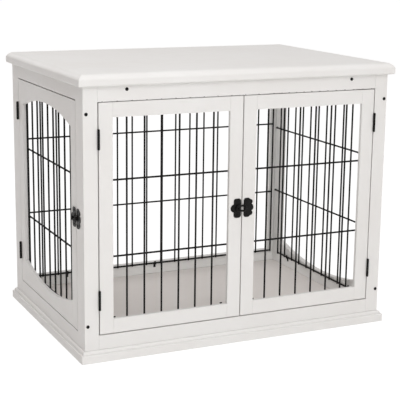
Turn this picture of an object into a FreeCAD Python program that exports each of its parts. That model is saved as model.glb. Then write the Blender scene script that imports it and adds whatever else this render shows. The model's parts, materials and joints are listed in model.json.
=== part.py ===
"""Furniture-style dog crate that serves as an end table.

A painted board cabinet stands on a mitred base and carries a moulded table top. Two mesh
doors close the front and an arched mesh door closes the left side. Fixed meshes close the
right side and the rear. Lengths are millimetres. The origin is on the floor under the centre
of the cabinet: X to the right, Y to the rear, Z up.

Frames, doors, meshes, hinges and latches are drawn in panel space, which is one side of the
cabinet seen from outside: X to the right, Y from the outer face into the cabinet, Z up.

The many thin round pieces, such as wires, knuckles and screws, are drawn as regular prisms.
"""
import FreeCAD, Part
import math
import os

V = FreeCAD.Vector
UP = V(0, 0, 1)
ALONG = V(1, 0, 0)
INWARD = V(0, 1, 0)

# ---- cabinet ----
CARCASS_WIDTH = 786.0
CARCASS_DEPTH = 544.0
CARCASS_HEIGHT = 603.0
BOARD = 15.0                # thickness of every frame and door board
STILE = 34.0                # width of the uprights of the frames
RAIL = 33.5                 # height of the rails of the frames, at mid span
SIDE_ARCH_RISE = 34.0       # how far the fixed side's arched rails grow towards the posts
TENON_LENGTH = 12.0
TENON_THICK = 4.0
TENON_SET_BACK = 3.0        # outer face of a board to the near cheek of its tenon
TENON_SHOULDER = 5.0
TENON_FIT = 0.1

# ---- table top ----
TOP_THICK = 28.0
TOP_OVERHANG = 13.0
TOP_UNDER_ROUND = 5.0       # radius of the edge's lower quarter round
TOP_BAND = 15.0             # underside to the upper arris of the edge's flat band
TOP_CROWN_WIDTH = 18.0      # edge to where the crowned slope meets the flat top

# ---- cleats that hold the table top ----
CLEAT_WIDTH = 30.0
CLEAT_HEIGHT = 17.0
CLEAT_SPACING = 580.0

# ---- base ----
BASE_HEIGHT = 27.0
BASE_PROUD = 10.5
BASE_INNER = 35.0           # how far the mouldings reach inwards from the cabinet's faces
BASE_OVOLO = 6.0
BASE_QUIRK = 2.0
BASE_SHOULDER = 2.5
FLOOR_THICK = 9.0
FLOOR_LAP = 6.0             # how far the floor panel runs in under the frames
FLOOR_FIT = 0.5
BATTEN_WIDTH = 45.0

# ---- doors ----
DOOR_GAP = 2.5
DOOR_STILE = 33.25
DOOR_RAIL = 33.5
DOOR_LIP = 9.0              # thickness of the inner rim, in front of the rabbet for the mesh
DOOR_ARCH_RISE = 28.0

# ---- wire meshes ----
WIRE = 4.0
WELD_BITE = 0.05            # how deep crossing wires are pressed together by the welds
MESH_LAP = 6.0              # door window's edge to the centre of the mesh's outer wire
MESH_FIT = 2.5              # mesh to the walls of its rabbet
DOOR_WIRE_COUNT = 6         # upright wires between the two outer ones
DOOR_WIRE_MARGIN = 42.9     # outer wire to the next one
DOOR_ROW_SPACING = 177.0    # between the two inner horizontal wires of a door
SIDE_DOOR_WIRE_COUNT = 9
SIDE_DOOR_WIRE_MARGIN = 25.2
FIXED_MESH_RISE = 30.0      # frames' lower end to the lowest wire of a fixed mesh
REAR_MESH_LAP = 6.5         # opening's edge to its outer wire
REAR_WIRE_COUNT = 16
REAR_WIRE_MARGIN = 43.0
REAR_ROW_SPACING = 198.0
REAR_ROW_RISE = 4.5         # middle of its two inner rows, above the cabinet's middle
SIDE_MESH_LAP = 24.5
SIDE_WIRE_COUNT = 12
SIDE_WIRE_MARGIN = 20.9
SIDE_ROW_SPACING = 182.0
SIDE_ROW_RISE = 2.0

# ---- clips that hold the meshes ----
CLIP_WIDTH = 6.0
CLIP_THICK = 1.2
CLIP_FOOT = 9.0
CLIP_REACH = 6.0            # how far a clip goes on past the centre of its wire
CLIP_BELOW_CLEATS = 0.5     # cleats' underside to the upper clips of the fixed meshes
REAR_CLIP_SPACES = (2, 8, 14)   # spaces between the uprights that have clips, counted from 0
SIDE_CLIP_SPACES = (2, 10)
DOOR_CLIP_INSET = 14.0      # mesh's outer wire to the nearest clip

# ---- butt hinges ----
HINGE_LENGTH = 45.0
HINGE_BARREL = 6.4
HINGE_STAND_OFF = 3.35      # face of the doors to the hinge axis
HINGE_LEAF_THICK = 1.0
HINGE_LEAF_DEPTH = 13.0
HINGE_KNUCKLES = 3
HINGE_KNUCKLE_GAP = 0.3
HINGE_PIN = 3.0
HINGE_PIN_FIT = 0.05
HINGE_PIN_END = 0.9         # how far a pin's riveted ends stand out of the barrel
HINGE_END_DISTANCE = 81.0   # door's end to the hinge's middle

# ---- latches ----
LATCH_HEIGHT = 329.0        # floor to the middle of the latch
LATCH_PLATE_THICK = 1.6
LATCH_PLATE_GAP = 8.5
LATCH_PLATE_HEIGHT = 46.0
LATCH_PLATE_STRIP = 17.5    # width of the upright strip of each plate
LATCH_PLATE_CORNER = 4.5
STUD_PLATE_WIDTH = 25.5     # with its one lobe
STUD_PLATE_LOBE = 9.6       # radius
HASP_PLATE_WIDTH = 26.0     # with its middle lobe
HASP_PLATE_LOBE = 9.0
HASP_SCALLOP_WIDTH = 23.5   # with the lobes above and below
HASP_SCALLOP = 6.0
HASP_SCALLOP_RISE = 13.5
LOOP_WIRE = 3.5
LOOP_LENGTH = 24.0
LOOP_HEIGHT = 14.0
LOOP_CORNER = 2.6
LOOP_FIT = 0.05
LOOP_KNUCKLE = 6.4
LOOP_KNUCKLE_LENGTH = 7.0
LOOP_KNUCKLE_INSET = 3.6    # inner edge of the plate to the loop's axis
STUD_DIAMETER = 5.4
STUD_LENGTH = 7.5
STUD_INSET = 5.6            # inner edge of the plate to the stud's axis

# ---- connecting bolts and screws ----
BOLT_HEAD = 8.0
BOLT_HEAD_HEIGHT = 1.6
BOLT_SHANK = 4.8
BOLT_LENGTH = 45.0
BOLT_RISE = 58.0            # frames' lower end to the lower bolts of the stiles
BOLT_DROP = 60.0            # frames' upper end to the upper ones
SCREW_HEAD = 7.6
SCREW_HEAD_HEIGHT = 2.6
SCREW_SHANK = 4.0
SCREW_RECESS = 1.2
BASE_SCREW_LENGTH = 46.0
BASE_SCREW_INSET = 6.0      # face of the cabinet to the screws' line
BASE_SCREW_SPACING = 380.0  # between the two screws in a long bottom rail
TOP_SCREW_LENGTH = 30.0
TOP_SCREW_SPACING = 180.0
FASTENER_FIT = 0.1
OVERRUN = 1.0               # how far a cutter goes on past the face that it leaves by

# ---- flat sides that stand for a round ----
WIRE_SIDES = 8
BOLT_SIDES = 8
SCREW_SIDES = 6
KNUCKLE_SIDES = 10
PLATE_SIDES = 20
CORNER_STEPS = 3            # flats in a rounded corner of a latch plate
BEND_STEPS = 6              # straight pieces in the half round end of a latch loop

# ---- worked out from the sizes above ----
CARCASS_TOP = BASE_HEIGHT + CARCASS_HEIGHT
CARCASS_MIDDLE = BASE_HEIGHT + CARCASS_HEIGHT / 2
SIDE_WIDTH = CARCASS_DEPTH - 2 * BOARD          # a side frame fits between front and rear
OPENING_LOW = BASE_HEIGHT + RAIL
OPENING_HIGH = CARCASS_TOP - RAIL
FRONT_OPENING = CARCASS_WIDTH - 2 * STILE
SIDE_OPENING = SIDE_WIDTH - 2 * STILE
DOOR_LOW = OPENING_LOW + DOOR_GAP
DOOR_HIGH = OPENING_HIGH - DOOR_GAP
FRONT_DOOR_WIDTH = (FRONT_OPENING - 3 * DOOR_GAP) / 2
SIDE_DOOR_WIDTH = SIDE_OPENING - 2 * DOOR_GAP
FRONT_DOOR_CENTRE = (FRONT_DOOR_WIDTH + DOOR_GAP) / 2
ROD = WIRE / 2
ROW_STEP = WIRE - WELD_BITE                     # between the centres of crossing wires
CLIP_BEND = ROD + CLIP_THICK                    # row wire's centre to the foot of its clip
FIXED_MESH_LOW = BASE_HEIGHT + FIXED_MESH_RISE
FIXED_MESH_HIGH = CARCASS_TOP - CLEAT_HEIGHT - CLIP_BELOW_CLEATS - CLIP_FOOT - CLIP_BEND

TURN_OF_SIDE = {"front": 0, "right": 90, "rear": 180, "left": -90}
HALF_DEPTH_OF_SIDE = {
    "front": CARCASS_DEPTH / 2,
    "rear": CARCASS_DEPTH / 2,
    "left": CARCASS_WIDTH / 2,
    "right": CARCASS_WIDTH / 2,
}


# ---- helpers ----
def box(x0, x1, y0, y1, z0, z1):
    """A block between two corners."""
    return Part.makeBox(x1 - x0, y1 - y0, z1 - z0, V(x0, y0, z0))


def on_side(shape, side):
    """Take a shape from panel space to its side of the cabinet."""
    placed = shape.copy()
    placed.translate(V(0, -HALF_DEPTH_OF_SIDE[side], 0))
    placed.rotate(V(0, 0, 0), UP, TURN_OF_SIDE[side])
    return placed


def side_point(x, y, z, side):
    """The point of the cabinet that lies at x, y, z in a side's panel space."""
    return on_side(Part.Vertex(x, y, z), side).Point


def side_direction(direction, side):
    """A direction of panel space, turned to its side of the cabinet."""
    return FreeCAD.Rotation(UP, TURN_OF_SIDE[side]).multVec(direction)


def spread(count, pitch):
    """Evenly pitched positions, centred on zero."""
    first = -(count - 1) * pitch / 2
    return [first + pitch * index for index in range(count)]


def prism(points, axis_vector):
    """A straight bar with a polygonal end."""
    return flat_face(points).extrude(axis_vector)


def ring(radius, place, direction, sides, around=False):
    """Corners of a regular polygon inside the circle of that radius, or around it."""
    reach = radius / math.cos(math.pi / sides) if around else radius
    turned = FreeCAD.Placement(place, FreeCAD.Rotation(UP, direction))
    turns = [(2 * index + 1) * math.pi / sides for index in range(sides)]
    return [turned.multVec(V(reach * math.cos(t), reach * math.sin(t), 0)) for t in turns]


def flat_face(corners):
    """Flat face between corners that are listed in order."""
    return Part.Face(Part.makePolygon(corners + corners[:1]))


def joined_rings(rings, closed=False):
    """Solid whose flat sides join each ring of corners to the next.

    A closed row joins its last ring to its first, and an open one ends in flat faces.
    """
    pairs = list(zip(rings, rings[1:]))
    if closed:
        pairs.append((rings[-1], rings[0]))
    faces = [] if closed else [flat_face(rings[0]), flat_face(rings[-1])]
    for one, other in pairs:
        for index, corner in enumerate(one):
            faces.append(flat_face([one[index - 1], corner, other[index], other[index - 1]]))
    shell = Part.Shell(faces)
    shell.sewShape()
    solid = Part.Solid(shell)
    return solid if solid.Volume > 0 else solid.reversed()


def line_between(start, end):
    """Straight edge."""
    return Part.LineSegment(start, end).toShape()


def arc_between(start, end, centre):
    """Arc of less than half a turn about a centre."""
    middle = (start + end) * 0.5 - centre
    middle.Length = (start - centre).Length
    return Part.Arc(start, centre + middle, end).toShape()


def bar(radius, length, start, direction, sides, around=False):
    """Straight bar with a regular polygon's section."""
    return flat_face(ring(radius, start, direction, sides, around)).extrude(direction * length)


def fused(shapes):
    """One clean solid made of touching or overlapping shapes."""
    return shapes[0].multiFuse(shapes[1:]).removeSplitter()


# ---- fasteners ----
def turned_pin(profile, place, direction, sides, around=False):
    """Pin with steps and cones, from (radius, distance) points along its axis."""
    return joined_rings([
        ring(radius, place + direction * distance, direction, sides, around)
        for radius, distance in profile
    ])


def bolt(place, direction, grow=0.0):
    """Connecting bolt with a low bevelled head on the board's face; grow gives its hole."""
    head = BOLT_HEAD / 2
    shank = BOLT_SHANK / 2 + grow
    bevel = BOLT_HEAD_HEIGHT / 2
    profile = [
        (head - bevel, -BOLT_HEAD_HEIGHT),
        (head, -BOLT_HEAD_HEIGHT + bevel),
        (head, 0),
        (shank, 0),
        (shank, BOLT_LENGTH + grow),
    ]
    return turned_pin(profile[-2:] if grow else profile, place, direction, BOLT_SIDES, grow > 0)


def screw(place, direction, length, grow=0.0):
    """Countersunk screw, its head sunk below the board's face; grow gives its hole."""
    head = SCREW_HEAD / 2 + grow
    shank = SCREW_SHANK / 2 + grow
    profile = [(head, 0), (shank, SCREW_HEAD_HEIGHT), (shank, length + grow)]
    if grow:
        profile.insert(0, (head, -SCREW_RECESS))
    return turned_pin(profile, place, direction, SCREW_SIDES, grow > 0)


def bolt_places():
    """Every connecting bolt: point on the board's face, and direction."""
    places = []
    edge = CARCASS_WIDTH / 2 - BOARD / 2
    cleat = CLEAT_SPACING / 2
    cleat_height = CARCASS_TOP - CLEAT_HEIGHT / 2
    for side in ("front", "rear"):
        direction = side_direction(INWARD, side)
        for x in (-edge, edge):
            for z in (BASE_HEIGHT + BOLT_RISE, CARCASS_TOP - BOLT_DROP):
                places.append((side_point(x, 0, z, side), direction))
        for x in (-cleat, cleat):
            places.append((side_point(x, 0, cleat_height, side), direction))
    return places


def base_screw_places():
    """Screws up through the base into the frames' lower ends."""
    stile_line = CARCASS_WIDTH / 2 - STILE / 2
    post_line = SIDE_WIDTH / 2 - STILE / 2
    rail_line = BASE_SCREW_SPACING / 2
    lines = {
        "front": (-stile_line, -rail_line, rail_line, stile_line),
        "rear": (-stile_line, -rail_line, rail_line, stile_line),
        "left": (-post_line, 0, post_line),
        "right": (-post_line, 0, post_line),
    }
    return [
        side_point(x, BASE_SCREW_INSET, SCREW_RECESS, side)
        for side, xs in lines.items()
        for x in xs
    ]


def top_screw_places():
    """Screws up through the cleats into the table top."""
    height = CARCASS_TOP - CLEAT_HEIGHT + SCREW_RECESS
    return [
        V(x, y, height)
        for x in (-CLEAT_SPACING / 2, CLEAT_SPACING / 2)
        for y in spread(3, TOP_SCREW_SPACING)
    ]


def fastener_holes():
    """The clearance holes of all connecting bolts and screws."""
    holes = [bolt(place, direction, FASTENER_FIT) for place, direction in bolt_places()]
    holes += [screw(p, UP, BASE_SCREW_LENGTH, FASTENER_FIT) for p in base_screw_places()]
    holes += [screw(p, UP, TOP_SCREW_LENGTH, FASTENER_FIT) for p in top_screw_places()]
    return holes


def drilled(shape, holes):
    """A board with the holes of the fasteners that cross it."""
    crossing = [hole for hole in holes if shape.BoundBox.intersect(hole.BoundBox)]
    return shape.cut(crossing) if crossing else shape


# ---- frames and doors, in panel space ----
def arch_cutter(half_span, rise, z_middle, direction):
    """Cylinder through the board that cuts a rail's arched edge; direction is +1 upwards."""
    radius = (half_span ** 2 + rise ** 2) / (2 * rise)
    centre = V(0, -OVERRUN, z_middle - direction * radius)
    return Part.makeCylinder(radius, BOARD + 2 * OVERRUN, centre, INWARD)


def rail(half_span, z0, z1, direction, rise):
    """Rail between two uprights, with a stub tenon at each end.

    direction is +1 for a top rail, whose arch opens downwards, and -1 for a bottom rail.
    """
    low = z0 - rise if direction > 0 else z0
    high = z1 + rise if direction < 0 else z1
    board = box(-half_span, half_span, 0, BOARD, low, high)
    if rise:
        middle = z0 if direction > 0 else z1
        board = board.cut(arch_cutter(half_span, rise, middle, direction))
    tenons = [tenon(sign, half_span, z0, z1) for sign in (-1, 1)]
    return fused([board] + tenons)


def tenon(sign, half_span, z0, z1, grow=0.0):
    """Stub tenon on a rail's end, or with grow its mortise."""
    near = half_span
    far = half_span + TENON_LENGTH + grow
    x0, x1 = sorted((sign * near, sign * far))
    y0 = TENON_SET_BACK - grow
    y1 = TENON_SET_BACK + TENON_THICK + grow
    return box(x0, x1, y0, y1, z0 + TENON_SHOULDER - grow, z1 - TENON_SHOULDER + grow)


def joined_boards(width, z_low, z_high, upright, rail_height, rise):
    """Left upright, right upright, top rail and bottom rail of a frame or a door."""
    half = width / 2
    inner = half - upright
    top_edges = (z_high - rail_height, z_high)
    bottom_edges = (z_low, z_low + rail_height)
    uprights = []
    for sign in (-1, 1):
        x0, x1 = sorted((sign * inner, sign * half))
        board = box(x0, x1, 0, BOARD, z_low, z_high)
        mortises = [tenon(sign, inner, *edges, TENON_FIT) for edges in (top_edges, bottom_edges)]
        uprights.append(board.cut(mortises))
    top = rail(inner, *top_edges, 1, rise)
    bottom = rail(inner, *bottom_edges, -1, rise)
    return uprights + [top, bottom]


def door_boards(width, rise):
    """A door's boards, rabbeted from behind for the mesh."""
    half_window = width / 2 - DOOR_STILE
    grow = MESH_LAP + ROD + MESH_FIT
    rabbet = box(
        -half_window - grow,
        half_window + grow,
        DOOR_LIP,
        BOARD + OVERRUN,
        DOOR_LOW + DOOR_RAIL - grow,
        DOOR_HIGH - DOOR_RAIL + grow,
    )
    boards = joined_boards(width, DOOR_LOW, DOOR_HIGH, DOOR_STILE, DOOR_RAIL, rise)
    return [board.cut(rabbet) for board in boards]


# ---- wire meshes and clips, in panel space ----
def wire_mesh(verticals, rows, vertical_depth, row_depth):
    """Straight wires welded where they cross; the outer ones reach the mesh's edges."""
    wires = []
    low = rows[0] - ROD
    height = rows[-1] + ROD - low
    left = verticals[0] - ROD
    width = verticals[-1] + ROD - left
    for x in verticals:
        wires.append(bar(ROD, height, V(x, vertical_depth, low), UP, WIRE_SIDES, True))
    for z in rows:
        wires.append(bar(ROD, width, V(left, row_depth, z), ALONG, WIRE_SIDES, True))
    return wires


def upright_lines(half_width, count, margin):
    """Positions of a mesh's uprights: two outer ones, and count even ones between margins."""
    pitch = 2 * (half_width - margin) / (count - 1)
    return [-half_width] + spread(count, pitch) + [half_width]


def row_lines(low, high, spacing, rise=0.0):
    """Heights of a mesh's rows: the lowest, two about the middle, and the highest."""
    return [low] + [CARCASS_MIDDLE + rise + z for z in spread(2, spacing)] + [high]


def door_mesh(width, count, margin):
    """Mesh in a door's rabbet: uprights against the lip, rows behind them."""
    verticals = upright_lines(width / 2 - DOOR_STILE + MESH_LAP, count, margin)
    low = DOOR_LOW + DOOR_RAIL - MESH_LAP
    high = DOOR_HIGH - DOOR_RAIL + MESH_LAP
    depth = DOOR_LIP + ROD
    return wire_mesh(verticals, row_lines(low, high, DOOR_ROW_SPACING), depth, depth + ROW_STEP)


def fixed_mesh(verticals, rows):
    """Mesh on a frame's inner face: rows against the boards, uprights on the room side."""
    depth = BOARD + ROD
    return wire_mesh(verticals, rows, depth + ROW_STEP, depth)


def mesh_clip(x, z, direction, row_back):
    """Bent strip screwed to the wood that hooks over a row wire.

    direction is the way from its foot to the wire, +1 upwards; row_back is how far the
    wire's back stands from the outer face of the boards.
    """
    over = row_back + CLIP_THICK
    outer = -CLIP_BEND - CLIP_THICK / 2
    inner = -CLIP_BEND + CLIP_THICK / 2
    profile = [
        (-CLIP_BEND - CLIP_FOOT, BOARD),
        (-CLIP_BEND, BOARD),
        (inner, row_back),
        (CLIP_REACH, row_back),
        (CLIP_REACH, over),
        (outer, over),
        (outer, BOARD + CLIP_THICK),
        (-CLIP_BEND - CLIP_FOOT, BOARD + CLIP_THICK),
    ]
    points = [V(x - CLIP_WIDTH / 2, depth, z + direction * rise) for rise, depth in profile]
    return prism(points, V(CLIP_WIDTH, 0, 0))


def door_clips(width):
    """Four clips of a door's mesh, near the corners."""
    edge = width / 2 - DOOR_STILE + MESH_LAP - DOOR_CLIP_INSET
    low = DOOR_LOW + DOOR_RAIL - MESH_LAP
    high = DOOR_HIGH - DOOR_RAIL + MESH_LAP
    row_back = DOOR_LIP + ROD + ROW_STEP + ROD
    clips = []
    for x in (-edge, edge):
        clips.append(mesh_clip(x, low, 1, row_back))
        clips.append(mesh_clip(x, high, -1, row_back))
    return clips


def fixed_clips(verticals, spaces, rows):
    """Clips of a fixed mesh on its bottom and top rows, midway between two uprights."""
    row_back = BOARD + WIRE
    clips = []
    for space in spaces:
        x = (verticals[space] + verticals[space + 1]) / 2
        clips.append(mesh_clip(x, rows[0], 1, row_back))
        clips.append(mesh_clip(x, rows[-1], -1, row_back))
    return clips


# ---- hinges, in panel space ----
def hinge_heights():
    """Middles of a door's two hinges."""
    return [DOOR_LOW + HINGE_END_DISTANCE, DOOR_HIGH - HINGE_END_DISTANCE]


def hinge_leaf(x, z, toward, own_knuckles):
    """Leaf in the gap beside a door, with its share of the knuckles.

    toward is the side of the axis that the leaf lies on: -1 left, +1 right.
    """
    radius = HINGE_BARREL / 2
    pitch = HINGE_LENGTH / HINGE_KNUCKLES
    low = z - HINGE_LENGTH / 2
    face = DOOR_GAP / 2
    x0, x1 = sorted((x + toward * face, x + toward * (face - HINGE_LEAF_THICK)))
    leaf_start = radius + HINGE_KNUCKLE_GAP - HINGE_STAND_OFF
    parts = [box(x0, x1, leaf_start, HINGE_LEAF_DEPTH, low, low + HINGE_LENGTH)]
    for index in own_knuckles:
        z0 = low + index * pitch + HINGE_KNUCKLE_GAP / 2
        length = pitch - HINGE_KNUCKLE_GAP
        parts.append(bar(radius, length, V(x, -HINGE_STAND_OFF, z0), UP, KNUCKLE_SIDES))
        parts.append(box(x0, x1, -HINGE_STAND_OFF, leaf_start, z0, z0 + length))
    bore_radius = HINGE_PIN / 2 + HINGE_PIN_FIT
    start = V(x, -HINGE_STAND_OFF, low - OVERRUN)
    bore = bar(bore_radius, HINGE_LENGTH + 2 * OVERRUN, start, UP, KNUCKLE_SIDES, True)
    return fused(parts).cut(bore)


def hinge_pin(x, z):
    """Round pin, a little longer than the barrel."""
    length = HINGE_LENGTH + 2 * HINGE_PIN_END
    return Part.makeCylinder(HINGE_PIN / 2, length, V(x, -HINGE_STAND_OFF, z - length / 2), UP)


def hinges(x, door_toward):
    """Frame leaves, door leaves and pins of one door; door_toward is the door's side."""
    fixed = range(0, HINGE_KNUCKLES, 2)
    moving = range(1, HINGE_KNUCKLES, 2)
    heights = hinge_heights()
    frame_leaves = [hinge_leaf(x, z, -door_toward, fixed) for z in heights]
    door_leaves = [hinge_leaf(x, z, door_toward, moving) for z in heights]
    pins = [hinge_pin(x, z) for z in heights]
    return frame_leaves, door_leaves, pins


# ---- latches, in panel space; x is the middle of the gap that they bridge ----
def disc(x, z, radius):
    """Round part of a latch plate, on the boards' face."""
    start = V(x, -LATCH_PLATE_THICK, z)
    return bar(radius, LATCH_PLATE_THICK, start, INWARD, PLATE_SIDES)


def strip(middle):
    """Upright strip of a latch plate, with rounded corners; middle is its centre line."""
    reach = LATCH_PLATE_STRIP / 2 - LATCH_PLATE_CORNER
    rise = LATCH_PLATE_HEIGHT / 2 - LATCH_PLATE_CORNER
    points = []
    for quarter, (side, end) in enumerate(((1, 1), (-1, 1), (-1, -1), (1, -1))):
        for step in range(CORNER_STEPS + 1):
            turn = math.radians(90 * (quarter + step / CORNER_STEPS))
            points.append(V(
                middle + side * reach + LATCH_PLATE_CORNER * math.cos(turn),
                -LATCH_PLATE_THICK,
                LATCH_HEIGHT + end * rise + LATCH_PLATE_CORNER * math.sin(turn),
            ))
    return prism(points, INWARD * LATCH_PLATE_THICK)


def stud_plate(x):
    """Plate with one rounded lobe, and the stud that the loop drops over."""
    right = x - LATCH_PLATE_GAP / 2
    lobe = disc(right - STUD_PLATE_WIDTH + STUD_PLATE_LOBE, LATCH_HEIGHT, STUD_PLATE_LOBE)
    radius = STUD_DIAMETER / 2
    tip = radius / 3
    profile = [(radius, 0), (radius, STUD_LENGTH - tip), (radius - tip, STUD_LENGTH)]
    foot = V(right - STUD_INSET, -LATCH_PLATE_THICK, LATCH_HEIGHT)
    stud = turned_pin(profile, foot, -INWARD, KNUCKLE_SIDES)
    return fused([strip(right - LATCH_PLATE_STRIP / 2), lobe, stud])


def loop_axis(x):
    """Middle of the loop's upright pivot."""
    depth = LATCH_PLATE_THICK + LOOP_KNUCKLE / 2
    return V(x + LATCH_PLATE_GAP / 2 + LOOP_KNUCKLE_INSET, -depth, LATCH_HEIGHT)


def hasp_plate(x):
    """Plate with a straight inner edge and a scalloped outer one, and the loop's knuckle."""
    left = x + LATCH_PLATE_GAP / 2
    scallop = left + HASP_SCALLOP_WIDTH - HASP_SCALLOP
    outline = [
        strip(left + LATCH_PLATE_STRIP / 2),
        disc(left + HASP_PLATE_WIDTH - HASP_PLATE_LOBE, LATCH_HEIGHT, HASP_PLATE_LOBE),
        disc(scallop, LATCH_HEIGHT - HASP_SCALLOP_RISE, HASP_SCALLOP),
        disc(scallop, LATCH_HEIGHT + HASP_SCALLOP_RISE, HASP_SCALLOP),
    ]
    axis = loop_axis(x)
    low = axis - UP * (LOOP_KNUCKLE_LENGTH / 2)
    knuckle = bar(LOOP_KNUCKLE / 2, LOOP_KNUCKLE_LENGTH, low, UP, KNUCKLE_SIDES)
    saddle = box(axis.x - LOOP_KNUCKLE / 2, axis.x + LOOP_KNUCKLE / 2, axis.y, 0,
                 low.z, low.z + LOOP_KNUCKLE_LENGTH)
    bore_radius = LOOP_WIRE / 2 + LOOP_FIT
    bore_length = LOOP_KNUCKLE_LENGTH + 2 * OVERRUN
    bore = Part.makeCylinder(bore_radius, bore_length, low - UP * OVERRUN, UP)
    return fused(outline + [knuckle, saddle]).cut(bore)


def latch_loop(x):
    """Closed wire loop: its upright end turns in the knuckle, its round end rings the stud."""
    axis = loop_axis(x)
    half = LOOP_HEIGHT / 2
    bend_x = axis.x - LOOP_LENGTH + half
    turns = [math.radians(90 + turn * 180 / BEND_STEPS) for turn in range(BEND_STEPS + 1)]
    bend = [(bend_x + half * math.cos(turn), half * math.sin(turn)) for turn in turns]
    corners = [
        (axis.x - LOOP_CORNER, -half),
        (axis.x, LOOP_CORNER - half),
        (axis.x, half - LOOP_CORNER),
        (axis.x - LOOP_CORNER, half),
    ]
    points = [V(px, axis.y, LATCH_HEIGHT + pz) for px, pz in bend + corners]
    return bent_wire(points, LOOP_WIRE / 2, INWARD)


def bent_wire(points, radius, normal):
    """Closed loop of straight bars, mitred where they meet; normal is square to its plane."""
    turns = [(2 * step + 1) * math.pi / WIRE_SIDES for step in range(WIRE_SIDES)]
    rings = []
    for index, point in enumerate(points):
        before = side_vector(points[index - 1], point, normal)
        after = side_vector(point, points[(index + 1) % len(points)], normal)
        mitre = (before + after) * (1 / (1 + before.dot(after)))
        rings.append([
            point + mitre * (radius * math.cos(t)) + normal * (radius * math.sin(t))
            for t in turns
        ])
    return joined_rings(rings, closed=True)


def side_vector(start, end, normal):
    """Unit vector square to a bar and in the plane of its loop."""
    vector = (end - start).cross(normal)
    return vector.normalize()


# ---- table top, base and floor ----
def top_section(half_width):
    """Section across the table top: a quarter round, a flat band and a crowned slope.

    half_width is measured to the edge; the crown's arc runs out level with the flat top.
    """
    def at(distance, height):
        return V(distance, 0, CARCASS_TOP + height)

    foot = half_width - TOP_UNDER_ROUND
    flat = half_width - TOP_CROWN_WIDTH
    crown_height = TOP_THICK - TOP_BAND
    crown_radius = (TOP_CROWN_WIDTH ** 2 + crown_height ** 2) / (2 * crown_height)
    right = [
        arc_between(at(foot, 0), at(half_width, TOP_UNDER_ROUND), at(foot, TOP_UNDER_ROUND)),
        line_between(at(half_width, TOP_UNDER_ROUND), at(half_width, TOP_BAND)),
        arc_between(at(half_width, TOP_BAND), at(flat, TOP_THICK), at(flat, TOP_THICK - crown_radius)),
    ]
    left = [edge.mirror(V(0, 0, 0), ALONG) for edge in right]
    level = [
        line_between(at(-foot, 0), at(foot, 0)),
        line_between(at(-flat, TOP_THICK), at(flat, TOP_THICK)),
    ]
    return Part.Face(Part.Wire(Part.sortEdges(right + left + level)[0]))


def table_top():
    """Board with one moulded edge all round, mitred at its sharp corners."""
    half_width = CARCASS_WIDTH / 2 + TOP_OVERHANG
    half_depth = CARCASS_DEPTH / 2 + TOP_OVERHANG
    across = top_section(half_width)
    across.translate(V(0, -half_depth, 0))
    along = top_section(half_depth)
    along.rotate(V(0, 0, 0), UP, 90)
    along.translate(V(-half_width, 0, 0))
    front_to_rear = across.extrude(V(0, 2 * half_depth, 0))
    side_to_side = along.extrude(V(2 * half_width, 0, 0))
    return front_to_rear.common(side_to_side)


def top_cleats():
    """Two strips from front to rear that the frames are bolted to and that hold the top."""
    half_length = SIDE_WIDTH / 2
    return [
        box(x - CLEAT_WIDTH / 2, x + CLEAT_WIDTH / 2, -half_length, half_length,
            CARCASS_TOP - CLEAT_HEIGHT, CARCASS_TOP)
        for x in (-CLEAT_SPACING / 2, CLEAT_SPACING / 2)
    ]


def base_profile():
    """Face of the base moulding's section: depth from the cabinet's face, and height."""
    quirk = BASE_HEIGHT - BASE_OVOLO - BASE_QUIRK
    rabbet = BOARD - FLOOR_LAP
    ledge = BASE_HEIGHT - FLOOR_THICK

    def at(depth, height):
        return V(0, depth, height)

    ovolo_top = at(0, BASE_HEIGHT)
    ovolo_end = at(-BASE_OVOLO, BASE_HEIGHT - BASE_OVOLO)
    shoulder_start = at(-BASE_PROUD + BASE_SHOULDER, quirk)
    shoulder_end = at(-BASE_PROUD, quirk - BASE_SHOULDER)
    lower = [
        shoulder_end,
        at(-BASE_PROUD, 0),
        at(BASE_INNER, 0),
        at(BASE_INNER, ledge),
        at(rabbet, ledge),
        at(rabbet, BASE_HEIGHT),
        ovolo_top,
    ]
    edges = [
        arc_between(ovolo_top, ovolo_end, at(0, BASE_HEIGHT - BASE_OVOLO)),
        line_between(ovolo_end, at(-BASE_OVOLO, quirk)),
        line_between(at(-BASE_OVOLO, quirk), shoulder_start),
        arc_between(shoulder_start, shoulder_end,
                    at(-BASE_PROUD + BASE_SHOULDER, quirk - BASE_SHOULDER)),
    ]
    edges += [line_between(start, end) for start, end in zip(lower, lower[1:])]
    return Part.Face(Part.Wire(edges))


def base_moulding(length):
    """Moulding under one side, its ends mitred; length is that of the cabinet's side."""
    outer = length / 2 + BASE_PROUD
    inner = length / 2 - BASE_INNER
    section = base_profile()
    section.translate(V(-outer, 0, 0))
    square_ended = section.extrude(V(2 * outer, 0, 0))
    plan = [
        V(-outer, -BASE_PROUD, 0),
        V(outer, -BASE_PROUD, 0),
        V(inner, BASE_INNER, 0),
        V(-inner, BASE_INNER, 0),
    ]
    return square_ended.common(prism(plan, UP * BASE_HEIGHT))


def floor_panel():
    """Panel flush with the base's top, its edges held under the frames."""
    inset = BOARD - FLOOR_LAP + FLOOR_FIT
    half_width = CARCASS_WIDTH / 2 - inset
    half_depth = CARCASS_DEPTH / 2 - inset
    return box(-half_width, half_width, -half_depth, half_depth,
               BASE_HEIGHT - FLOOR_THICK, BASE_HEIGHT)


def floor_batten():
    """Bearer from front to rear under the middle of the floor panel."""
    half = CARCASS_DEPTH / 2 - BASE_INNER
    return box(-BATTEN_WIDTH / 2, BATTEN_WIDTH / 2, -half, half, 0, BASE_HEIGHT - FLOOR_THICK)


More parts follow.
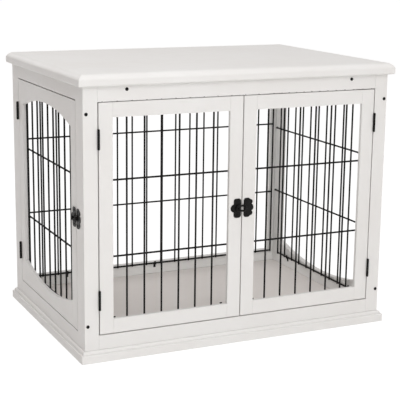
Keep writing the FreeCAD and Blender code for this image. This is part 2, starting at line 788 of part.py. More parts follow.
# ---- nodes ----
def frame_nodes(holes):
    """The boards of the four fixed frames."""
    nodes = {}
    plans = {
        "front": (CARCASS_WIDTH, 0, ("stile_left", "stile_right")),
        "rear": (CARCASS_WIDTH, 0, ("stile_right", "stile_left")),
        "left": (SIDE_WIDTH, 0, ("post_rear", "post_front")),
        "right": (SIDE_WIDTH, SIDE_ARCH_RISE, ("post_front", "post_rear")),
    }
    for side, (width, rise, uprights) in plans.items():
        boards = joined_boards(width, BASE_HEIGHT, CARCASS_TOP, STILE, RAIL, rise)
        for name, board in zip(uprights + ("rail_top", "rail_bottom"), boards):
            nodes[side + "_" + name] = [drilled(on_side(board, side), holes)]
    return nodes


def door_nodes(name, side, centre, width, rise, uprights, wires, margin):
    """A door's boards, mesh and clips; centre is the door's middle in panel space."""
    def placed(shape):
        moved = shape.copy()
        moved.translate(V(centre, 0, 0))
        return on_side(moved, side)

    nodes = {}
    for part_name, board in zip(uprights + ("rail_top", "rail_bottom"), door_boards(width, rise)):
        nodes[name + "_" + part_name] = [placed(board)]
    nodes[name + "_mesh"] = [placed(wire) for wire in door_mesh(width, wires, margin)]
    nodes[name + "_mesh_clips"] = [placed(clip) for clip in door_clips(width)]
    return nodes


def all_door_nodes():
    """The two front doors and the side door."""
    nodes = {}
    front = (FRONT_DOOR_WIDTH, 0)
    front_mesh = (DOOR_WIRE_COUNT, DOOR_WIRE_MARGIN)
    nodes.update(door_nodes("left_door", "front", -FRONT_DOOR_CENTRE, *front,
                            ("hinge_stile", "meeting_stile"), *front_mesh))
    nodes.update(door_nodes("right_door", "front", FRONT_DOOR_CENTRE, *front,
                            ("meeting_stile", "hinge_stile"), *front_mesh))
    nodes.update(door_nodes("side_door", "left", 0, SIDE_DOOR_WIDTH, DOOR_ARCH_RISE,
                            ("hinge_stile", "latch_stile"),
                            SIDE_DOOR_WIRE_COUNT, SIDE_DOOR_WIRE_MARGIN))
    return nodes


def fixed_mesh_nodes():
    """Meshes of the rear and the right side, and all their clips."""
    rear_rows = row_lines(FIXED_MESH_LOW, FIXED_MESH_HIGH, REAR_ROW_SPACING, REAR_ROW_RISE)
    side_rows = row_lines(FIXED_MESH_LOW, FIXED_MESH_HIGH, SIDE_ROW_SPACING, SIDE_ROW_RISE)
    rear_uprights = upright_lines(FRONT_OPENING / 2 + REAR_MESH_LAP,
                                  REAR_WIRE_COUNT, REAR_WIRE_MARGIN)
    side_uprights = upright_lines(SIDE_OPENING / 2 + SIDE_MESH_LAP,
                                  SIDE_WIRE_COUNT, SIDE_WIRE_MARGIN)
    rear_mesh = fixed_mesh(rear_uprights, rear_rows)
    side_mesh = fixed_mesh(side_uprights, side_rows)
    rear_clips = fixed_clips(rear_uprights, REAR_CLIP_SPACES, rear_rows)
    side_clips = fixed_clips(side_uprights, SIDE_CLIP_SPACES, side_rows)
    clips = [on_side(clip, "rear") for clip in rear_clips]
    clips += [on_side(clip, "right") for clip in side_clips]
    return {
        "rear_mesh": [on_side(wire, "rear") for wire in rear_mesh],
        "right_side_mesh": [on_side(wire, "right") for wire in side_mesh],
        "frame_mesh_clips": clips,
    }


def hinge_nodes():
    """Hinges of the three doors."""
    front_line = FRONT_OPENING / 2 - DOOR_GAP / 2
    side_line = SIDE_OPENING / 2 - DOOR_GAP / 2
    plans = {
        "left_door": ("front", -front_line, 1),
        "right_door": ("front", front_line, -1),
        "side_door": ("left", -side_line, 1),
    }
    nodes = {"hinge_frame_leaves": [], "hinge_pins": []}
    for door, (side, x, toward) in plans.items():
        frame_leaves, door_leaves, pins = hinges(x, toward)
        nodes["hinge_frame_leaves"] += [on_side(leaf, side) for leaf in frame_leaves]
        nodes["hinge_pins"] += [on_side(pin, side) for pin in pins]
        nodes[door + "_hinge_leaves"] = [on_side(leaf, side) for leaf in door_leaves]
    return nodes


def latch_nodes():
    """The latch of the front doors and the latch of the side door."""
    nodes = {}
    side_gap = SIDE_OPENING / 2 - DOOR_GAP / 2
    for name, side, x in (("front", "front", 0), ("side", "left", side_gap)):
        nodes[name + "_stud_plate"] = [on_side(stud_plate(x), side)]
        nodes[name + "_hasp_plate"] = [on_side(hasp_plate(x), side)]
        nodes[name + "_latch_loop"] = [on_side(latch_loop(x), side)]
    return nodes


def all_nodes():
    """Every sub-part: node name to its separate solids."""
    holes = fastener_holes()
    nodes = {"table_top": [drilled(table_top(), holes)]}
    nodes["top_cleats"] = [drilled(cleat, holes) for cleat in top_cleats()]
    lengths = {"front": CARCASS_WIDTH, "rear": CARCASS_WIDTH, "left": CARCASS_DEPTH,
               "right": CARCASS_DEPTH}
    for side, length in lengths.items():
        moulding = on_side(base_moulding(length), side)
        nodes["base_moulding_" + side] = [drilled(moulding, holes)]
    nodes["floor_panel"] = [floor_panel()]
    nodes["floor_batten"] = [floor_batten()]
    nodes.update(frame_nodes(holes))
    nodes.update(all_door_nodes())
    nodes.update(fixed_mesh_nodes())
    nodes.update(hinge_nodes())
    nodes.update(latch_nodes())
    nodes["frame_bolts"] = [bolt(place, direction) for place, direction in bolt_places()]
    nodes["base_screws"] = [screw(p, UP, BASE_SCREW_LENGTH) for p in base_screw_places()]
    nodes["top_screws"] = [screw(p, UP, TOP_SCREW_LENGTH) for p in top_screw_places()]
    return nodes


def main():
    """Write one STEP file for each node."""
    os.makedirs("parts", exist_ok=True)
    for name, solids in all_nodes().items():
        flat = [solid for shape in solids for solid in shape.Solids]
        shape = flat[0] if len(flat) == 1 else Part.makeCompound(flat)
        shape.exportStep(os.path.join("parts", name + ".step"))
        print(name, len(flat), "solids", round(shape.Volume), "mm3", shape.isValid())


main()
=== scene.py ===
import json
import math

import bmesh
import bpy
from mathutils import Matrix, Vector


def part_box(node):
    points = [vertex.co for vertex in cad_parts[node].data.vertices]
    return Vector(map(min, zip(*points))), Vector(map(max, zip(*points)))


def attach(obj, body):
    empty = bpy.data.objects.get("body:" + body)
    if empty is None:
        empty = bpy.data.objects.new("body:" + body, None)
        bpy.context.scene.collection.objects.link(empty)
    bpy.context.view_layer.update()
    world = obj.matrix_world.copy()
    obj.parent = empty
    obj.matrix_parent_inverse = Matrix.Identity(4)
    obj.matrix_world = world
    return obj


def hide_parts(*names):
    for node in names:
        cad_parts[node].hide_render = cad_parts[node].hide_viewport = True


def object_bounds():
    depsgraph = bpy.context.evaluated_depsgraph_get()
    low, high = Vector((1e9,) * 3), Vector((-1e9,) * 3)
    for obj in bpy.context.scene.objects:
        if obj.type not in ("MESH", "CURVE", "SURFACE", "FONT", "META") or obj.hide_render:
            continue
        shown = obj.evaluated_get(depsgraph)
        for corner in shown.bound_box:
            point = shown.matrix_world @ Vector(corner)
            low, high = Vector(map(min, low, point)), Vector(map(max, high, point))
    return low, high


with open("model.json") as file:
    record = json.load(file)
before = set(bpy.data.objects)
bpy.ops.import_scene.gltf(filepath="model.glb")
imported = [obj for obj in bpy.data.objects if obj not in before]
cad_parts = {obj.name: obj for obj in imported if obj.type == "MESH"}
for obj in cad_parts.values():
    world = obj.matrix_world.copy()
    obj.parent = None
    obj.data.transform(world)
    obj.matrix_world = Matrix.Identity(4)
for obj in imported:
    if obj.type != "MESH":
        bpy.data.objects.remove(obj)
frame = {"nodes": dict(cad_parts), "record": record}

MM = 0.001
CAD_LOW, CAD_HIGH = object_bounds()
NODES = frame["nodes"]
BODY_OF = {node: body for body, nodes in frame["record"]["behaviour"]["bodies"].items() for node in nodes}
SLOT_OF = {row["node"]: row["material_slot"] for row in frame["record"]["subparts"]}
TINY = 1e-9                 # keeps a division from meeting zero
UP = Vector((0, 0, 1))
INWARD = Vector((0, 1, 0))


# ---------------------------------------------------------------- camera
CAMERA_PLACE = Vector((-1.212524, -2.620485, 0.935726))
CAMERA_YAW = 0.43918
CAMERA_PITCH = -0.21952
CAMERA_ROLL = 0.01248
CAMERA_LENS = 103.502
SENSOR_WIDTH = 36
VIEW_DEPTH = 50.0


def add_camera():
    """Camera of the photograph: where it stood, where it looked and how long its lens was."""
    forward = Vector((
        math.sin(CAMERA_YAW) * math.cos(CAMERA_PITCH),
        math.cos(CAMERA_YAW) * math.cos(CAMERA_PITCH),
        math.sin(CAMERA_PITCH),
    ))
    level = Vector((math.cos(CAMERA_YAW), -math.sin(CAMERA_YAW), 0))
    upright = level.cross(forward)
    right = math.cos(CAMERA_ROLL) * level + math.sin(CAMERA_ROLL) * upright
    up = math.cos(CAMERA_ROLL) * upright - math.sin(CAMERA_ROLL) * level
    turned = Matrix((right, up, -forward)).transposed().to_4x4()
    data = bpy.data.cameras.new("camera")
    data.lens = CAMERA_LENS
    data.sensor_width = SENSOR_WIDTH
    data.clip_end = VIEW_DEPTH
    camera = bpy.data.objects.new("camera", data)
    camera.matrix_world = Matrix.Translation(CAMERA_PLACE) @ turned
    bpy.context.scene.collection.objects.link(camera)
    bpy.context.scene.camera = camera


# ---------------------------------------------------------------- materials
class Graph:
    """Short names for the nodes of one material."""

    def __init__(self, name):
        self.material = bpy.data.materials.new(name)
        self.material.use_nodes = True
        self.tree = self.material.node_tree
        self.shader = self.tree.nodes["Principled BSDF"]
        self.output = self.tree.nodes["Material Output"]

    def add(self, kind, inputs=(), **settings):
        """Node of a kind, with its sockets fed and its settings made."""
        node = self.tree.nodes.new(kind)
        for key, value in settings.items():
            setattr(node, key, value)
        for socket, value in dict(inputs).items():
            self.feed(value, node.inputs[socket])
        return node

    def feed(self, value, socket):
        """Link another node's socket to this one, or give it a plain value."""
        if isinstance(value, bpy.types.NodeSocket):
            self.tree.links.new(value, socket)
        else:
            socket.default_value = value

    def place(self, stretch=(1, 1, 1)):
        """Place on the object, with each axis scaled."""
        where = self.add("ShaderNodeTexCoord").outputs["Object"]
        return self.add("ShaderNodeMapping", {"Vector": where, "Scale": stretch}).outputs[0]

    def noise(self, scale, detail=3.0, rough=0.5, stretch=(1, 1, 1)):
        """Cloudy value between 0 and 1."""
        settings = {"Vector": self.place(stretch), "Scale": scale, "Detail": detail, "Roughness": rough}
        return self.add("ShaderNodeTexNoise", settings).outputs["Fac"]

    def spread(self, value, low, high, from_low=0.3, from_high=0.7):
        """Value taken from one range to another; most noise lies between 0.3 and 0.7."""
        node = self.add("ShaderNodeMapRange", {
            "Value": value, "From Min": from_low, "From Max": from_high, "To Min": low, "To Max": high})
        return node.outputs[0]

    def blend(self, amount, one, other):
        """Mix of two colours."""
        node = self.add("ShaderNodeMix", data_type="RGBA")
        self.feed(amount, node.inputs[0])
        self.feed(one, node.inputs[6])
        self.feed(other, node.inputs[7])
        return node.outputs[2]

    def maths(self, operation, one, other):
        """Result of one operation on two values."""
        node = self.add("ShaderNodeMath", operation=operation)
        self.feed(one, node.inputs[0])
        self.feed(other, node.inputs[1])
        return node.outputs[0]

    def bump(self, height, distance, under=None):
        """Normal of a relief, laid over another normal if there is one."""
        node = self.add("ShaderNodeBump", {"Height": height, "Distance": distance, "Strength": 1.0})
        if under is not None:
            self.feed(under, node.inputs["Normal"])
        return node.outputs[0]


# Noise scales are features per metre, and the shares are parts of the whole.
PAINT = (0.806, 0.808, 0.797, 1)
PAINT_WARM = (0.782, 0.776, 0.760, 1)
# Colour of the random dark specks, and also of the painted shade that darkens seams and corners
PAINT_SPECK_AND_SHADE = (0.36, 0.34, 0.325, 1)
FLOOR_COLOUR = (0.800, 0.765, 0.738, 1)
FLOOR_WARM = (0.765, 0.728, 0.700, 1)
MOTTLE_SCALE = 5.0
SPECK_SCALE = 900.0
SPECK_RANGE = (0.60, 0.85)
SPECK_SHARE = 0.05
# Painted shade: ambient occlusion within this reach darkens seams, corners and recesses
PAINTED_SHADE_REACH = 4.0 * MM
PAINTED_SHADE_RANGE = (0.15, 0.75)    # painted shade: how open a seam is where its painted shade is darkest, and where that shade ends
PAINTED_SHADE_SHARE = 0.35
PAINTED_SHADE_SAMPLES = 6
GLOSS_SCALE = 40.0
PAINT_ROUGHNESS = (0.45, 0.56)
GRAIN_SCALE = 420.0
GRAIN_STRETCH = 0.06
GRAIN_DEPTH = 0.04 * MM
PEEL_SCALE = 1500.0
PEEL_DEPTH = 0.06 * MM
PAINT_IOR = 1.48
PAINT_COAT = 0.12
PAINT_COAT_ROUGHNESS = 0.45


def paint(name, colour, warm, along):
    """Sprayed satin paint over board: soft mottle, faint grain lines, orange peel, and painted shade that
    darkens the seams.
    """
    g = Graph(name)
    mottle = g.spread(g.noise(MOTTLE_SCALE, detail=4.0), 0, 1)
    speck = g.spread(g.noise(SPECK_SCALE, detail=2.0), 0, SPECK_SHARE, *SPECK_RANGE)
    # Painted shade: ambient occlusion darkens the paint colour in seams, corners and recesses
    painted_shade_ao = g.add("ShaderNodeAmbientOcclusion", {"Distance": PAINTED_SHADE_REACH},
                    samples=PAINTED_SHADE_SAMPLES, only_local=False)
    painted_shade = g.spread(painted_shade_ao.outputs["AO"], PAINTED_SHADE_SHARE, 0, *PAINTED_SHADE_RANGE)
    tone = g.blend(mottle, colour, warm)
    tone = g.blend(speck, tone, PAINT_SPECK_AND_SHADE)
    tone = g.blend(painted_shade, tone, PAINT_SPECK_AND_SHADE)
    g.feed(tone, g.shader.inputs["Base Color"])
    g.feed(g.spread(g.noise(GLOSS_SCALE, detail=5.0), *PAINT_ROUGHNESS), g.shader.inputs["Roughness"])
    stretch = tuple(GRAIN_STRETCH if axis == along else 1 for axis in "XYZ")
    grain = g.bump(g.noise(GRAIN_SCALE, detail=4.0, rough=0.6, stretch=stretch), GRAIN_DEPTH)
    peel = g.bump(g.noise(PEEL_SCALE, detail=2.0), PEEL_DEPTH, under=grain)
    g.feed(peel, g.shader.inputs["Normal"])
    g.shader.inputs["IOR"].default_value = PAINT_IOR
    g.shader.inputs["Coat Weight"].default_value = PAINT_COAT
    g.shader.inputs["Coat Roughness"].default_value = PAINT_COAT_ROUGHNESS
    return g.material


BLACK_WIRE = (0.0045, 0.0042, 0.0042, 1)
BLACK_HARDWARE = (0.0055, 0.0052, 0.0050, 1)
WIRE_ROUGHNESS = (0.35, 0.50)
HARDWARE_ROUGHNESS = (0.33, 0.48)
WIRE_GRIT = 3200.0
HARDWARE_GRIT = 2400.0
GRIT_DEPTH = 0.08 * MM
RUB_SCALE = 160.0
RUB_RANGE = (0.45, 0.8)
RUB_GAIN = 1.9              # how much lighter the coat is where it is rubbed
SHEEN_SCALE = 300.0
COAT_SPECULAR = 0.16


def black_coat(name, colour, roughness, grit):
    """Powder coat: deep black with a fine pebbled skin and slightly uneven gloss."""
    g = Graph(name)
    rubbed = tuple(value * RUB_GAIN for value in colour[:3]) + (1,)
    wear = g.spread(g.noise(RUB_SCALE, detail=4.0), 0, 1, *RUB_RANGE)
    g.feed(g.blend(wear, colour, rubbed), g.shader.inputs["Base Color"])
    g.feed(g.spread(g.noise(SHEEN_SCALE), *roughness), g.shader.inputs["Roughness"])
    g.feed(g.bump(g.noise(grit, detail=2.0), GRIT_DEPTH), g.shader.inputs["Normal"])
    g.shader.inputs["Specular IOR Level"].default_value = COAT_SPECULAR
    return g.material


ZINC_LIGHT = (0.62, 0.62, 0.60, 1)
ZINC_DARK = (0.47, 0.48, 0.49, 1)
ZINC_CLOUD_SCALE = 500.0
ZINC_GLOSS_SCALE = 900.0
ZINC_ROUGHNESS = (0.25, 0.4)
TURNING_SCALE = 60.0
TURNING_STRETCH = (1, 1, 40)
TURNING_DEPTH = 0.03 * MM


def zinc(name):
    """Bright zinc on hidden screws, with fine turning marks."""
    g = Graph(name)
    g.shader.inputs["Metallic"].default_value = 1.0
    cloud = g.spread(g.noise(ZINC_CLOUD_SCALE), 0, 1)
    g.feed(g.blend(cloud, ZINC_LIGHT, ZINC_DARK), g.shader.inputs["Base Color"])
    g.feed(g.spread(g.noise(ZINC_GLOSS_SCALE), *ZINC_ROUGHNESS), g.shader.inputs["Roughness"])
    marks = g.noise(TURNING_SCALE, detail=2.0, stretch=TURNING_STRETCH)
    g.feed(g.bump(marks, TURNING_DEPTH), g.shader.inputs["Normal"])
    return g.material


PAINT_ALONG_X = paint("paint_along_x", PAINT, PAINT_WARM, "X")
PAINT_ALONG_Y = paint("paint_along_y", PAINT, PAINT_WARM, "Y")
PAINT_ALONG_Z = paint("paint_along_z", PAINT, PAINT_WARM, "Z")
FLOOR_PAINT = paint("floor_coating", FLOOR_COLOUR, FLOOR_WARM, "X")
WIRE_COAT = black_coat("wire_coat", BLACK_WIRE, WIRE_ROUGHNESS, WIRE_GRIT)
HARDWARE_COAT = black_coat("hardware_coat", BLACK_HARDWARE, HARDWARE_ROUGHNESS, HARDWARE_GRIT)
ZINC = zinc("zinc_screw")


def paint_for(node):
    """Paint whose grain runs along the board."""
    low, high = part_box(node)
    size = high - low
    longest = max(range(3), key=lambda axis: size[axis])
    return (PAINT_ALONG_X, PAINT_ALONG_Y, PAINT_ALONG_Z)[longest]


def set_material(piece, material):
    """One material on a whole piece."""
    piece.data.materials.clear()
    piece.data.materials.append(material)


# ---------------------------------------------------------------- mesh helpers
SMOOTH_ANGLE = 35               # degrees; edges sharper than this stay sharp
SAME_POINT = 1e-7
SAME_CAD_POINT = 1e-6
NEARLY_UPRIGHT = 0.9            # Z of a unit vector that needs another helper than UP
TURNED_SIDES = 24
TUBE_SIDES = 32


def new_piece(name, shape, body, material, smooth=SMOOTH_ANGLE):
    """Turn a bmesh in the frame of the part into a piece that rides on a body."""
    bmesh.ops.remove_doubles(shape, verts=shape.verts, dist=SAME_POINT)
    bmesh.ops.recalc_face_normals(shape, faces=shape.faces)
    mesh = bpy.data.meshes.new(name)
    shape.to_mesh(mesh)
    shape.free()
    piece = bpy.data.objects.new(name, mesh)
    bpy.context.scene.collection.objects.link(piece)
    for face in mesh.polygons:
        face.use_smooth = True
    mesh.set_sharp_from_angle(angle=math.radians(smooth))
    set_material(piece, material)
    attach(piece, body)
    return piece


def stand_in(node, suffix, shape, material, smooth=SMOOTH_ANGLE):
    """Piece that replaces one CAD node, which it hides, and rides on the node's body."""
    piece = new_piece(node + suffix, shape, BODY_OF[node], material, smooth)
    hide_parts(node)


def across_axis(direction):
    """Two unit vectors square to a direction and to each other."""
    axis = Vector(direction).normalized()
    helper = UP if abs(axis.z) < NEARLY_UPRIGHT else Vector((1, 0, 0))
    across = axis.cross(helper).normalized()
    return across, axis.cross(across)


def turned_ring(shape, place, direction, reach, sides):
    """Ring of vertices around an axis; reach is a radius, or gives one for each turn."""
    across, other = across_axis(direction)
    ring = []
    for step in range(sides):
        turn = 2 * math.pi * step / sides
        radius = reach(turn) if callable(reach) else reach
        ring.append(shape.verts.new(place + radius * (math.cos(turn) * across + math.sin(turn) * other)))
    return ring


def bridge_rings(shape, rings, closed=False):
    """Skin a row of vertex rings that have the same count."""
    pairs = list(zip(rings, rings[1:]))
    if closed:
        pairs.append((rings[-1], rings[0]))
    for one, two in pairs:
        for step in range(len(one)):
            after = (step + 1) % len(one)
            shape.faces.new((one[step], one[after], two[after], two[step]))


def add_turned(shape, profile, place, direction, sides=TURNED_SIDES, open_ended=False):
    """Body of revolution: (radius, distance) points along an axis, with flat ends or a bore."""
    axis = Vector(direction).normalized()
    rings = [turned_ring(shape, Vector(place) + axis * d, axis, r, sides) for r, d in profile]
    bridge_rings(shape, rings, open_ended)
    if not open_ended:
        shape.faces.new(rings[0])
        shape.faces.new(rings[-1])


def add_tube(shape, outer, inner, length, place, direction, ease):
    """Tube with slightly eased outer ends."""
    profile = [
        (inner, 0),
        (outer - ease, 0),
        (outer, ease),
        (outer, length - ease),
        (outer - ease, length),
        (inner, length),
    ]
    add_turned(shape, profile, place, direction, TUBE_SIDES, open_ended=True)


def add_block(shape, low, high):
    """Plain block between two corners."""
    size = [b - a for a, b in zip(low, high)]
    middle = [(a + b) / 2 for a, b in zip(low, high)]
    matrix = Matrix.Translation(middle) @ Matrix.Diagonal((*size, 1))
    bmesh.ops.create_cube(shape, size=1, matrix=matrix)


def islands(node):
    """Lowest and highest corner of each separate solid of a CAD node."""
    shape = bmesh.new()
    shape.from_mesh(NODES[node].data)
    bmesh.ops.remove_doubles(shape, verts=shape.verts, dist=SAME_CAD_POINT)
    seen = set()
    boxes = []
    for start in shape.verts:
        if start in seen:
            continue
        seen.add(start)
        found = [start]
        for vert in found:
            for edge in vert.link_edges:
                other = edge.other_vert(vert)
                if other not in seen:
                    seen.add(other)
                    found.append(other)
        boxes.append(corners([vert.co for vert in found]))
    shape.free()
    return boxes


def corners(points):
    """Lowest and highest corner of some points."""
    low = Vector([min(point[axis] for point in points) for axis in range(3)])
    high = Vector([max(point[axis] for point in points) for axis in range(3)])
    return low, high


# ---------------------------------------------------------------- panel space
# One side of the cabinet seen from outside: X right, Y from its outer face inwards, Z up.
TURN_OF_SIDE = {"front": 0, "right": 90, "rear": 180, "left": -90}


def panel(side):
    """Matrix from a side's panel space to the frame of the part."""
    turn = Matrix.Rotation(math.radians(TURN_OF_SIDE[side]), 4, "Z")
    outward = turn @ -INWARD
    distance = max(corner.dot(outward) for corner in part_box(side + "_rail_top"))
    return turn @ Matrix.Translation(-INWARD * distance)


def in_panel(box, side):
    """A box of the part, in a side's panel space."""
    back = panel(side).inverted()
    return corners([back @ corner for corner in box])


# ---------------------------------------------------------------- wire meshes
WIRE_SIDES = 20
WIRE_SMOOTH_ANGLE = 50
WIRE_END_ROUND = 0.6 * MM
COAT_THICK = 0.2 * MM       # plastic powder coat over the steel
UPRIGHT_SHIFT = {           # how far off centre the inner uprights are welded, along X or Y
    "rear_mesh": -4.8 * MM,
    "right_side_mesh": -10.5 * MM,
    "side_door_mesh": 14.0 * MM,
}
ROWS_RUN_PAST = ("right_side_mesh",)    # meshes whose inner rows end in eyes beside the uprights
NUGGET_SPREAD = 1.2         # half width of a weld bead, in wire radii
NUGGET_DEPTH = 0.55         # half depth, in wire radii


def add_wire(shape, low, high):
    """Round wire that fills a long thin box; its cut ends are slightly rounded."""
    size = high - low
    axis = max(range(3), key=lambda index: size[index])
    radius = min(size) / 2 + COAT_THICK
    centre = (low + high) / 2
    start = centre.copy()
    start[axis] = low[axis]
    direction = Vector([1.0 if index == axis else 0.0 for index in range(3)])
    profile = [
        (radius - WIRE_END_ROUND, 0),
        (radius, WIRE_END_ROUND),
        (radius, size[axis] - WIRE_END_ROUND),
        (radius - WIRE_END_ROUND, size[axis]),
    ]
    add_turned(shape, profile, start, direction, WIRE_SIDES)


def add_nugget(shape, place, out, radius):
    """Flattened bead that a resistance weld squeezes out where two wires cross."""
    wide = radius * NUGGET_SPREAD
    flat = Matrix.Diagonal((wide, wide, radius * NUGGET_DEPTH, 1))
    turn = UP.rotation_difference(out).to_matrix().to_4x4()
    bmesh.ops.create_icosphere(
        shape, subdivisions=2, radius=1, matrix=Matrix.Translation(place) @ turn @ flat)


def wire_piece(node):
    """Welded mesh of round wires that replaces its faceted CAD node; gives back its inner rows."""
    boxes = islands(node)
    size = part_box(node)[1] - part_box(node)[0]
    along, thin = (0, 1) if size.x > size.y else (1, 0)
    uprights = [box for box in boxes if box[1].z - box[0].z > size.z / 2]
    rows = [box for box in boxes if box not in uprights]
    uprights.sort(key=lambda box: box[0][along])
    rows.sort(key=lambda box: box[0].z)
    for box in uprights[1:-1]:
        for corner in box:
            corner[along] += UPRIGHT_SHIFT.get(node, 0)
    if node in ROWS_RUN_PAST:
        uprights = uprights[1:-1]
        for row in (rows[0], rows[-1]):
            row[0][along] = uprights[0][0][along]
            row[1][along] = uprights[-1][1][along]
    shape = bmesh.new()
    for box in uprights + rows:
        add_wire(shape, *box)
    out = Vector([1.0 if index == thin else 0.0 for index in range(3)])
    for upright in uprights:
        for row in rows:
            place = (sum(upright, Vector()) + sum(row, Vector())) / 4
            place[along] = (upright[0][along] + upright[1][along]) / 2
            place.z = (row[0].z + row[1].z) / 2
            add_nugget(shape, place, out, size_of_wire(row) / 2)
    stand_in(node, "_welded", shape, WIRE_COAT, WIRE_SMOOTH_ANGLE)
    return rows[1:-1]


def size_of_wire(box):
    """Diameter of the wire that fills a box."""
    return min(box[1] - box[0])


# ---------------------------------------------------------------- screw and bolt heads
BOLT_HEAD_HEIGHT = 1.6 * MM
BOLT_HEAD_RADIUS = 4.0 * MM
BOLT_SHANK_RADIUS = 2.4 * MM
BOLT_SOCKET = 1.9 * MM
SCREW_HEAD_RADIUS = 2.5 * MM
SCREW_HEAD_HEIGHT = 1.2 * MM
SCREW_CROSS = 1.5 * MM
SCREW_CROSS_WIDTH = 0.35 * MM
HEAD_SIDES = 36
HEAD_SINK = 0.1 * MM        # how far a head is set into what it holds
HEAD_DOME = [(0.80, 0.88), (0.94, 0.62), (1.0, 0.30)]   # shares of a head's radius and height
RECESS_LIP = 0.93           # height of a recess's lip, as a share of the head's
RECESS_FLOOR = 0.35         # height of its floor
RECESS_TAPER = 0.75         # reach of its floor, as a share of the lip's


def six_sided(reach):
    """Outline of a hexagonal socket."""
    def at(turn):
        within = turn % (math.pi / 3) - math.pi / 6
        return reach * math.cos(math.pi / 6) / math.cos(within)
    return at


def cross_shaped(reach, half_width):
    """Outline of a cross recess."""
    def at(turn):
        within = abs((turn + math.pi / 4) % (math.pi / 2) - math.pi / 4)
        return min(reach, half_width / max(math.sin(within), TINY))
    return at


def add_head(shape, place, out, radius, height, recess, foot=()):
    """Domed head on a surface; out points away from it, recess outlines its drive."""
    axis = Vector(out).normalized()
    levels = [
        (lambda turn: RECESS_TAPER * recess(turn), RECESS_FLOOR * height),
        (recess, RECESS_LIP * height),
    ]
    levels += [(radius * wide, height * high) for wide, high in HEAD_DOME]
    levels += foot or [(radius, -HEAD_SINK)]
    rings = [turned_ring(shape, place + axis * level, axis, reach, HEAD_SIDES) for reach, level in levels]
    bridge_rings(shape, rings)
    shape.faces.new(rings[0])
    shape.faces.new(rings[-1])


def add_screw(shape, place, out):
    """Pan-head screw with a cross recess."""
    add_head(shape, Vector(place), out, SCREW_HEAD_RADIUS, SCREW_HEAD_HEIGHT,
             cross_shaped(SCREW_CROSS, SCREW_CROSS_WIDTH))


def bolt_piece(node):
    """Low domed bolt heads with hexagonal sockets, on their shanks."""
    shape = bmesh.new()
    for low, high in islands(node):
        centre = (low + high) / 2
        out = -INWARD if centre.y < 0 else INWARD
        face = (low.y if centre.y < 0 else high.y) - out.y * BOLT_HEAD_HEIGHT
        length = high.y - low.y - BOLT_HEAD_HEIGHT
        foot = [(BOLT_HEAD_RADIUS, 0), (BOLT_SHANK_RADIUS, 0), (BOLT_SHANK_RADIUS, -length)]
        add_head(shape, Vector((centre.x, face, centre.z)), out, BOLT_HEAD_RADIUS,
                 BOLT_HEAD_HEIGHT, six_sided(BOLT_SOCKET), foot)
    stand_in(node, "_socketed", shape, HARDWARE_COAT)


EYE_RADIUS = 3.4 * MM
EYE_FACE_RADIUS = 3.06 * MM
EYE_THICK = 1.3 * MM
EYE_EDGE = 0.91 * MM        # height at which an eye's rim starts to round over
EYE_INSET = 3.0 * MM        # row's end to the centre of its eye


def row_eyes(rows):
    """Flattened ends of the right mesh's inner rows, screwed to the posts beside it."""
    shape = bmesh.new()
    inward = Vector((-1, 0, 0))
    for low, high in rows:
        for y in (low.y + EYE_INSET, high.y - EYE_INSET):
            place = Vector((high.x, y, (low.z + high.z) / 2))
            profile = [(EYE_RADIUS, 0), (EYE_RADIUS, EYE_EDGE), (EYE_FACE_RADIUS, EYE_THICK)]
            add_turned(shape, profile, place, inward)
            add_screw(shape, place + inward * EYE_THICK, inward)
    new_piece("right_side_mesh_eyes", shape, BODY_OF["right_side_mesh"], HARDWARE_COAT)


# ---------------------------------------------------------------- mesh clips
CLIP_THICK = 1.2 * MM
CLIP_FOOT = 9.0 * MM
SAME_FACE = 0.1 * MM        # faces nearer than this lie in one plane


def clip_screws(node, side_of):
    """Screws in the feet of a node's clips; side_of gives the side that a clip belongs to."""
    shape = bmesh.new()
    for box in islands(node):
        side = side_of(box)
        low, high = in_panel(box, side)
        below = high.z < (CAD_LOW.z + CAD_HIGH.z) / 2
        height = low.z + CLIP_FOOT / 2 if below else high.z - CLIP_FOOT / 2
        place = Vector(((low.x + high.x) / 2, low.y + CLIP_THICK, height))
        add_screw(shape, panel(side) @ place, panel(side).to_3x3() @ INWARD)
    new_piece(node + "_screws", shape, BODY_OF[node], HARDWARE_COAT)


def fixed_side(box):
    """Side of the fixed mesh that a clip holds."""
    rear_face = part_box("rear_rail_top")[0].y
    return "rear" if abs(box[1].y - rear_face) < SAME_FACE else "right"


# ---------------------------------------------------------------- hinges
SIDE_OF_DOOR = {"left_door": "front", "right_door": "front", "side_door": "left"}
SAME_AXIS = 1.0 * MM        # pins nearer than this to a joint's axis belong to it
BARREL_RADIUS = 2.8 * MM
BARREL_EASE = 0.25 * MM
PIN_RADIUS = 1.5 * MM
PIN_BORE = 1.55 * MM
PIN_END = 0.9 * MM          # how far a pin's riveted ends stand out of the barrel
PIN_RIM = 0.405 * MM        # straight part of those ends
PIN_TIP = 0.9 * MM          # radius of their flat tips
PIN_DOME = 2.1 * MM         # and of their rims
KNUCKLES = 3
KNUCKLE_GAP = 0.3 * MM
LEAF_FACE = 1.25 * MM       # hinge axis to the wood that a leaf lies on
LEAF_THICK = 1.0 * MM
LEAF_ROOT = 2.1 * MM        # hinge axis to where a knuckle runs out into its leaf
LEAF_START = 3.5 * MM       # hinge axis to the flat part of a leaf
LEAF_END = 16.35 * MM
LEAF_SCREWS = 0.31          # middle of a leaf to its screws, in barrel lengths
FLUSH_HEAD_RADIUS = 2.6 * MM
FLUSH_HEAD_PROUD = 0.12 * MM


